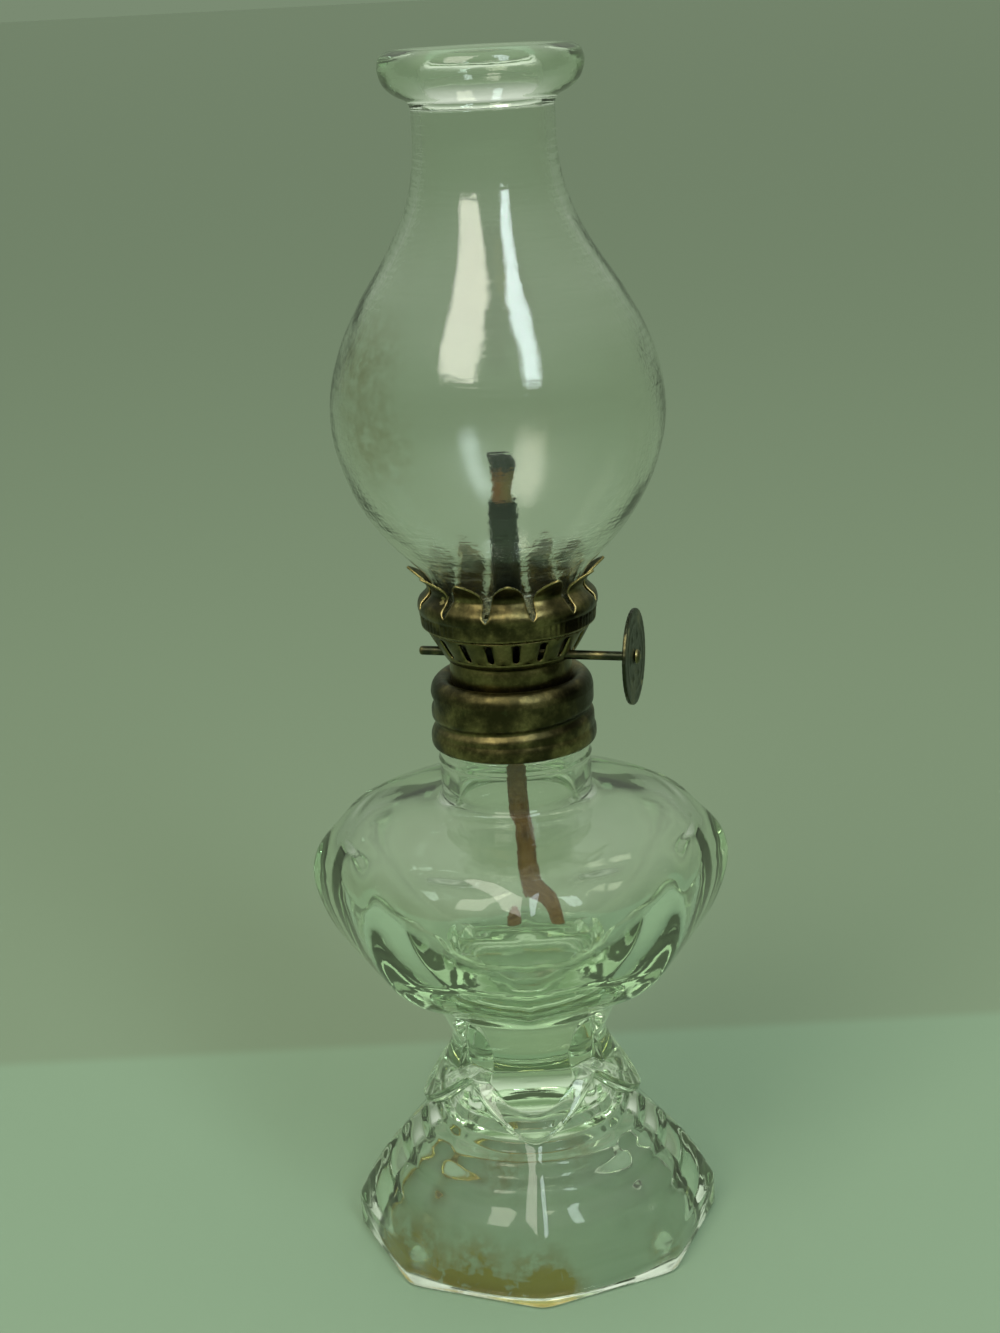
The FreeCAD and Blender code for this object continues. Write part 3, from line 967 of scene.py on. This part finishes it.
    def ridge(self, theta: float, z: float) -> float:
        """Height of the neck's helical thread, 0 to 1."""
        angle = math.degrees(theta) - 90.0
        best = 0.0
        for lap in range(-2, 3):
            a = angle + 360.0 * lap
            if -130.0 <= a <= 356.0:
                fade = step(-130.0, -110.0, a) * step(356.0, 336.0, a)
                best = max(best, fade * bump(z - (95.96 + self.pitch * (a + 130.0) / 360.0), 0.75))
        return best

    def build(self) -> bpy.types.Object:
        """Make the glass."""
        return skin("font_glass", self.rings(), False)


@dataclass
class Chimney:
    """Blown chimney with a bulb, a throat and a rolled lip."""

    segments: int = 176
    wall: float = 1.6

    def build(self) -> bpy.types.Object:
        """Make the glass."""
        body = smooth(
            [(12.9, 118.2), (12.9, 120.0), (12.9, 121.5), (13.3, 123.0), (14.7, 125.1), (16.8, 127.3),
             (19.2, 129.8), (21.5, 132.7), (23.5, 135.7), (25.0, 138.5), (26.1, 141.3), (27.0, 144.2),
             (27.8, 147.6), (28.1, 151.2), (27.9, 154.9), (27.4, 157.9), (26.5, 161.0), (25.4, 164.0),
             (24.2, 166.6), (22.9, 169.0), (21.5, 171.5), (19.8, 174.1), (18.2, 176.5), (16.4, 179.5),
             (14.8, 182.6), (13.6, 185.4), (12.7, 188.4), (12.1, 191.5), (11.75, 194.8), (11.7, 198.0),
             (11.7, 201.0)], 4)
        inner = inward(body, self.wall)
        lip = smooth(
            [(11.7, 201.0), (12.3, 202.2), (14.2, 203.2), (15.9, 204.8), (16.7, 207.2), (16.3, 209.2),
             (15.0, 210.1), (13.5, 210.25), (11.8, 209.7), (10.5, 208.2), (10.05, 205.5), inner[-1]], 5)
        foot = smooth([inner[0], (11.45, 117.75), (12.1, 117.45), (12.6, 117.6), body[0]], 3)
        path = body + lip[1:] + inner[::-1][1:] + foot[1:-1]
        return lathe("chimney_glass", path, self.segments)


@dataclass
class Burner:
    """Brass sheet pieces and the wick tube."""

    slots: int = 18
    prongs: int = 12

    def groove(self, theta: float, z: float) -> float:
        """Depth of the rolled helical groove on the cap, 0 to 1."""
        angle = math.degrees(theta) - 90.0
        best = 0.0
        for lap in range(-1, 3):
            a = angle + 360.0 * lap
            if 150.0 <= a <= 564.0:
                fade = step(150.0, 172.0, a) * step(564.0, 540.0, a)
                best = max(best, fade * bump(z - (97.07 + 4.0 * (a - 150.0) / 360.0), 1.05))
        return best

    def cap(self) -> bpy.types.Object:
        """The screw cap, a closed sheet with its thread rolled in."""
        outer = smooth([(13.5, 93.55), (14.1, 93.5), (14.4, 94.1), (14.4, 95.3), (14.15, 96.2)], 4)
        outer += [(14.15, 96.2 + 0.22 * k) for k in range(1, 32)]
        outer += smooth(
            [(14.1, 103.2), (13.85, 104.2), (13.2, 105.1), (12.4, 105.55), (11.5, 105.3), (10.4, 104.45)], 4)
        outer += [(8.0, 104.4), (3.0, 104.4)]
        inner = [(3.0, 103.95), (8.0, 103.95), (10.2, 103.97), (11.5, 104.8), (12.35, 105.05), (12.9, 104.7)]
        inner += [(13.4, 103.6)] + [(13.6, 103.2 - 0.25 * k) for k in range(30)]
        inner += [(13.7, 95.0), (13.6, 94.0)]

        def shape(theta: float, r: float, z: float) -> Pair:
            if 96.0 < z < 103.6 and r > 13.3:
                r -= 0.72 * self.groove(theta, z)
            if r > 11.0:
                spot = Vector((math.sin(theta) * 2.2, math.cos(theta) * 2.2, z * 0.22))
                r += 0.06 * noise.noise(spot)
            return r, z

        return lathe("cap_shell", outer + inner, 200, shape)

    def collar(self) -> bpy.types.Object:
        """The short boss between cap and basket."""
        outer = smooth([(10.3, 104.45), (10.55, 105.6), (10.6, 106.8), (10.5, 107.9), (10.3, 108.8)], 4)
        return lathe("collar_shell", outer + inward(outer, 0.45)[::-1], 160)

    def cone(self, v: float) -> Pair:
        """Radius and height along the basket's side, v from 0 to 1."""
        line = [(11.0, 108.95), (11.35, 109.5), (12.3, 111.0), (13.3, 112.7), (14.1, 114.2), (14.45, 115.2),
                (14.45, 116.8)]
        z = mix(108.95, 116.8, v)
        return lookup(line, z), z

    def basket(self) -> bpy.types.Object:
        """The slotted cone: each cell is a rectangle with a round-ended hole."""
        grids = []
        wide = TAU / self.slots
        low, high, mid = 0.15, 0.72, 0.425
        around = 40
        for k in range(self.slots):
            for band in ((0.0, low, 3), (high, 1.0, 4)):
                rows = []
                for a in range(band[2] + 1):
                    v = mix(band[0], band[1], a / band[2])
                    rows.append([self.on_cone(wide * (k + b / 10.0), v) for b in range(11)])
                grids.append(rows)
            rows = []
            for a in range(5):
                t = a / 4
                row = []
                for b in range(around + 1):
                    angle = TAU * (b - around / 8) / around
                    c, s = math.cos(angle), math.sin(angle)
                    scale = 1.0 / max(abs(c), abs(s))
                    edge_u, edge_v = 0.5 + 0.5 * c * scale, mid + (high - low) / 2 * s * scale
                    half_u = 0.135
                    run = 0.165
                    hole_u = 0.5 + half_u * c
                    hole_v = mid + run * (1 if s > 0.02 else -1 if s < -0.02 else 0) + 0.066 * s
                    row.append(self.on_cone(wide * (k + mix(edge_u, hole_u, t)), mix(edge_v, hole_v, t), t))
                rows.append(row)
            grids.append(rows)
        return patchwork("basket_shell", grids, 0.42)

    def on_cone(self, theta: float, v: float, near_hole: float = 0.0) -> Point:
        """A point on the basket, with a small pressed dimple round each hole."""
        r, z = self.cone(v)
        r -= 0.16 * near_hole**3
        return r * math.cos(theta), r * math.sin(theta), z

    def floor(self) -> bpy.types.Object:
        """The basket's floor ring."""
        return lathe(
            "basket_floor",
            [(7.7, 108.87), (9.5, 108.86), (10.9, 108.87), (11.05, 109.05), (10.9, 109.25), (9.5, 109.28),
             (7.7, 109.28)],
            120)

    def crown(self) -> bpy.types.Object:
        """Beaded band, belly and flared prongs."""
        side = smooth(
            [(15.0, 115.15), (15.05, 116.3), (15.1, 117.2), (15.42, 117.9), (15.5, 118.7), (15.2, 119.7),
             (14.3, 120.7), (13.8, 121.5), (14.1, 122.5), (15.3, 123.7), (17.0, 125.0)], 4)
        grids = []
        pitch = TAU / self.prongs
        across = 20
        width = smooth(
            [(1.0, 118.6), (0.93, 118.9), (0.86, 119.5), (0.80, 121.4), (0.68, 122.8), (0.36, 124.2),
             (0.05, 125.0)], 5)
        for k in range(self.prongs):
            rows = []
            for r, z in side:
                row = []
                for b in range(across + 1):
                    u = 2.0 * b / across - 1.0
                    share = lookup(width, z)
                    theta = pitch * (k + 0.5 * u * share) - TAU / 4 - BURNER_YAW
                    rr, zz = r, z
                    if z < 117.3:
                        rr += 0.10 * math.cos(theta * 90.0) * step(115.1, 115.6, z)
                        rr += 0.12 * bump(z - 117.0, 0.35) * (0.5 + 0.5 * math.cos(theta * 90.0))
                    if z > 119.0:
                        rr -= 0.35 * u * u * share * step(119.0, 121.0, z)
                        zz += 0.12 * math.sin(k * 2.3) * step(121.5, 125.0, z)
                        rr += 0.15 * math.sin(k * 1.7 + 0.6) * step(121.5, 125.0, z)
                    row.append((rr * math.cos(theta), rr * math.sin(theta), zz))
                rows.append(row)
            grids.append(rows)
        return patchwork("crown_shell", grids, 0.38)

    def tube(self) -> bpy.types.Object:
        """The flattened wick tube, drawn in at its mouth."""
        rings = []

        def ring(width: float, depth: float, z: float, lean: float = 0.0) -> None:
            half, r = width / 2 - depth / 2, depth / 2
            points = []
            for i in range(64):
                a = TAU * i / 64
                c = math.cos(a)
                x = math.copysign(half, c) if abs(c) > 0.15 else half * c / 0.15
                points.append((x + r * math.cos(a), r * math.sin(a), z + lean * (x + r * math.cos(a))))
            rings.append(points)

        for z in [91.05 + 42.0 * k / 40 for k in range(41)]:
            wave = 0.03 * noise.noise(Vector((0.0, 0.0, z * 0.35)))
            ring(4.95 + wave, 3.35 + wave, z)
        mouth = ((4.9, 3.3, 134.0), (4.75, 3.15, 135.2), (4.62, 3.05, 135.8), (4.5, 2.9, 135.95))
        bore = ((4.2, 2.65, 135.9), (4.1, 2.5, 135.4), (4.3, 2.7, 133.0), (4.3, 2.7, 110.0), (4.3, 2.7, 91.1))
        for width, depth, z in mouth + bore:
            ring(width, depth, z)
        return skin("tube_shell", rings, True)


@dataclass
class Winder:
    """Thumbwheel and shaft. Built along +X, then placed."""

    radius: float = 8.2
    at: Point = (22.3, -3.68, 110.1)

    def place(self, obj: bpy.types.Object, x: float) -> bpy.types.Object:
        """Lay a lathe along the shaft and turn it to the burner's yaw."""
        lay = Matrix.Rotation(TAU / 4, 4, "Y")
        move = Matrix.Translation(Vector((x, self.at[1], self.at[2])) * MM)
        return turn(obj, YAW @ move @ lay)

    def wheel(self) -> bpy.types.Object:
        """A thin stamped disc with a rolled rim, a raised ring and pips."""
        stations = [0.85, 1.2, 1.6, 1.9, 2.0, 2.2]
        stations += [2.4 + 0.2 * k for k in range(27)] + [7.8, 7.95, 8.1, 8.18]

        def relief(r: float, theta: float) -> float:
            x, y = r * math.cos(theta), r * math.sin(theta)
            height = 0.16 * bump(r - 5.8, 0.55) + 0.10 * bump(r - 7.5, 0.5)
            for k in range(6):
                a = TAU / 6 * k
                gap = math.hypot(x - 3.9 * math.cos(a), y - 3.9 * math.sin(a))
                height += 0.32 * bump(gap, 0.85)
            return height + 0.03 * noise.noise(Vector((x, y, 3.0)) * 0.5)

        front = [(r, 0.60) for r in stations]
        hub = [(0.85, -0.68), (1.7, -0.65), (1.88, -0.45), (1.9, 0.08)]
        back = [(r, 0.15) for r in reversed(stations) if r > 1.95]
        path = front + [(self.radius, 0.5), (self.radius, 0.25)] + back + hub[::-1]

        def shape(theta: float, r: float, z: float) -> Pair:
            edge = 0.06 * step(7.6, self.radius, r)
            wavy = edge * math.sin(theta * 40.0)
            if z == 0.60:
                z += relief(r, theta) * 0.55
            elif z == 0.15:
                z -= 0.12 - 0.4 * relief(r, theta) * 0.55
            return min(r + wavy - edge, self.radius), z

        return self.place(lathe("thumbwheel_disc", path, 120, shape), self.at[0])

    def shaft(self) -> bpy.types.Object:
        """The rod, with slightly rounded ends."""
        path = [(0.0, -15.15), (0.45, -15.15), (0.7, -15.0), (0.79, -14.7)]
        path += [(0.79, -14.7 + 0.6 * k) for k in range(1, 63)]
        path += [(0.79, 23.0), (0.0, 23.05)]
        rod = lathe("shaft_rod", path, 40, None, False)
        return self.place(rod, 0.0)


@dataclass
class Wick:
    """Knit wick: a soft oval tube of stitches with a burnt tip."""

    around: int = 72
    rows: int = 420

    def build(self) -> bpy.types.Object:
        """Make the wick."""
        rings = []
        top = 144.05
        bottom = 57.1
        for k in range(self.rows + 1):
            t = k / self.rows
            z = mix(bottom, top, t)
            flare = step(138.6, 142.6, z)
            width = mix(3.6, 4.55, flare) * mix(1.0, 0.80, step(143.2, top, z))
            depth = mix(2.0, 2.6, flare) * mix(1.0, 0.70, step(143.2, top, z))
            pinch = 1.0 - 0.07 * step(136.0, 138.0, z) * step(140.5, 138.5, z)
            end = min(1.0, (z - bottom) / 0.8 + 0.55)
            shift = 0.32 * step(137.2, 140.5, z) - 0.25 * step(141.5, 144.0, z)
            loose = step(138.0, 142.5, z)
            ring = []
            for i in range(self.around):
                a = TAU * i / self.around
                stitch = math.sin(a * 9.0 + z * 4.2) * math.sin(a * 9.0 - z * 4.2)
                r = 1.0 + 0.055 * stitch
                spot = Vector((math.cos(a) * 1.4, math.sin(a) * 1.4, z * 0.9))
                r += loose * 0.13 * noise.noise(spot) + 0.02 * noise.noise(spot * 2.3)
                power = 0.72
                c, s = math.cos(a), math.sin(a)
                x = width / 2 * math.copysign(abs(c) ** power, c) * r * pinch * end / 1.06
                y = depth / 2 * math.copysign(abs(s) ** power, s) * r * end / 1.06
                droop = 0.16 * x * step(139.0, 144.0, z)
                zz = z - droop + loose * 0.35 * noise.noise(spot * 1.7)
                hang = (max(84.0 - z, 0.0) / 27.0) ** 1.3
                ring.append((x + shift + 4.5 * hang, y - 4.9 * hang, min(zz, 144.15)))
            rings.append(ring)
        low = [[(4.5, -4.9, bottom + 0.15)]]
        crater = [[(x * 0.6 + 0.02, y * 0.6, z - 0.25) for x, y, z in rings[-1]]]
        cap = [[(rings[-1][0][0] * 0.05, 0.0, top - 0.55)]]
        return turn(skin("wick_knit", low + rings + crater + cap, False), YAW)


# -------------------------------------------------------------------- studio


@dataclass
class Studio:
    """Floor, lights, world and the camera of the photograph's angle."""

    eye: Point = (-0.0019, -0.370, 0.219)
    looking_down: float = 16.9
    roll: float = -3.0
    lens: float = 60.28
    sensor: float = 36.0
    horizon: Point = (0.185, 0.245, 0.16)
    overhead: Point = (0.78, 0.84, 0.74)
    strength: float = 1.05
    floor_z: float = -0.01
    floor_sides: int = 96

    def floor(self, finish: bpy.types.Material) -> None:
        """Lay the floor.

        Args:
            finish: its material.
        """
        rings = [[(0.0, 0.0, self.floor_z)]]
        angles = [TAU * i / self.floor_sides for i in range(self.floor_sides)]
        for r in (300.0, 900.0, 2600.0, 9000.0, 60000.0):
            rings.append([(r * math.cos(a), r * math.sin(a), self.floor_z) for a in angles])
        obj = skin("floor", rings, False)
        obj.data.materials.append(finish)

    def window(self, name: str, azimuth: float, elevation: float, size: Pair, power: float, colour: Point,
               distance: float = 1.0) -> None:
        """Hang one tall soft light, aimed at the lamp.

        Args:
            name: light name.
            azimuth: degrees to the right of the camera's side.
            elevation: degrees above the floor.
            size: width and height in metres.
            power: watts.
            colour: light colour.
            distance: metres from the lamp.
        """
        light = bpy.data.lights.new(name, "AREA")
        light.shape = "RECTANGLE"
        light.size, light.size_y = size
        light.energy = power
        light.color = colour
        obj = bpy.data.objects.new(name, light)
        a, e = math.radians(azimuth), math.radians(elevation)
        aim = Vector((0.0, 0.0, 0.13))
        way = Vector((math.sin(a) * math.cos(e), -math.cos(a) * math.cos(e), math.sin(e)))
        obj.location = aim + way * distance
        obj.rotation_euler = (-way).to_track_quat("-Z", "Y").to_euler()
        bpy.context.scene.collection.objects.link(obj)

    def world(self) -> None:
        """Dim green-grey surroundings, lighter overhead."""
        world = bpy.data.worlds.new("room")
        bpy.context.scene.world = world
        world.use_nodes = True
        g = Graph(world.node_tree)
        back = world.node_tree.nodes["Background"]
        split = g.add("SeparateXYZ")
        g.put(split, 0, g.add("TexCoord").outputs["Generated"])
        up = g.span(split.outputs[2], 0.05, 0.95)
        g.put(back, "Color", g.blend(up, self.horizon, self.overhead))
        g.put(back, "Strength", self.strength)

    def camera(self) -> None:
        """Set the camera where the photographer's was."""
        data = bpy.data.cameras.new("camera")
        data.sensor_width = self.sensor
        data.lens = self.lens
        data.clip_start = 0.01
        data.clip_end = 100.0
        obj = bpy.data.objects.new("camera", data)
        tilt = Matrix.Rotation(math.radians(90.0 - self.looking_down), 4, "X")
        roll = Matrix.Rotation(math.radians(self.roll), 4, "Z")
        obj.matrix_world = Matrix.Translation(self.eye) @ tilt @ roll
        bpy.context.scene.collection.objects.link(obj)
        bpy.context.scene.camera = obj
        bpy.context.scene.view_settings.view_transform = "Standard"


# ---------------------------------------------------------------------- main


def dress(frame: dict, name: str, finish: bpy.types.Material) -> None:
    """Give a visible CAD node a finish.

    Args:
        name: the node.
        finish: its material.
    """
    node = frame["nodes"][name]
    node.data.materials.clear()
    node.data.materials.append(finish)
    LOG.info("%s: carried over", name)


def main() -> None:
    """Build the lamp's looks."""
    logging.basicConfig(level=logging.INFO, format="%(name)s %(message)s")
    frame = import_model()
    effects = Effects()
    font_glass = Glass(
        name="font_glass", density=19.0, ripple=0.16, haze=0.05, index=1.42, rim=27.6, edge_dirt=1.6,
        stains=FONT_STAINS,
    ).build(effects)
    chimney_glass = Glass(
        name="chimney_glass", density=20.0, ripple=0.32, haze=0.06, soot=True, stain=(0.50, 0.38, 0.17),
        bands=0.05, grain=0.07, stains=CHIMNEY_STAINS,
    ).build(effects)
    brass = AgedBrass().build(effects)
    collar_brass = AgedBrass(
        name="collar_brass", dark=(0.045, 0.040, 0.014), rub=0.52, bright=(0.30, 0.25, 0.10)
    ).build(effects)
    wheel_brass = AgedBrass(
        name="wheel_brass", dark=(0.035, 0.040, 0.024), rub=0.36, rough=0.26
    ).build(effects)
    steel = SootedSteel().build(effects)
    cotton = WickCotton().build(effects)
    seal = SealRubber().build(effects)

    burner, winder = Burner(), Winder()
    pieces = [
        Piece(Font().build(), Body.FONT, font_glass, "clear_glass",
              ("font_foot", "font_pedestal", "font_bowl", "font_neck")),
        Piece(Chimney().build(), Body.CHIMNEY, chimney_glass, "clear_glass", ("chimney",)),
        Piece(burner.cap(), Body.BURNER, brass, "dark_brass", ("screw_cap",)),
        Piece(burner.collar(), Body.BURNER, collar_brass, "dark_brass", ("burner_collar",)),
        Piece(turn(burner.basket(), YAW), Body.BURNER, collar_brass, "dark_brass", ("basket",)),
        Piece(burner.floor(), Body.BURNER, brass, "dark_brass"),
        Piece(turn(burner.crown(), YAW), Body.BURNER, brass, "dark_brass", ("gallery_crown",)),
        Piece(turn(burner.tube(), YAW), Body.BURNER, steel, "dark_steel", ("wick_tube",)),
        Piece(winder.wheel(), Body.WINDER, wheel_brass, "dark_brass", ("thumbwheel",)),
        Piece(winder.shaft(), Body.WINDER, wheel_brass, "dark_brass", ("winder_shaft",)),
        Piece(Wick().build(), Body.WICK, cotton, "wick_cotton", ("wick",)),
    ]
    for piece in pieces:
        piece.settle()
    for name, finish in (
        ("cap_seal", seal), ("air_plate", collar_brass), ("wheel_housing", steel),
        ("feed_wheels", brass), ("winder_rivet", wheel_brass),
    ):
        dress(frame, name, finish)

    studio = Studio()
    studio.floor(Backdrop().build(effects))
    studio.window("window_left", -30.0, 47.0, (0.42, 0.69), 5.4, (1.0, 0.96, 0.84))
    studio.window("window_right", 27.0, 43.0, (0.20, 0.66), 3.6, (0.82, 0.95, 1.0))
    studio.world()
    studio.camera()


if __name__ == "__main__":
    main()
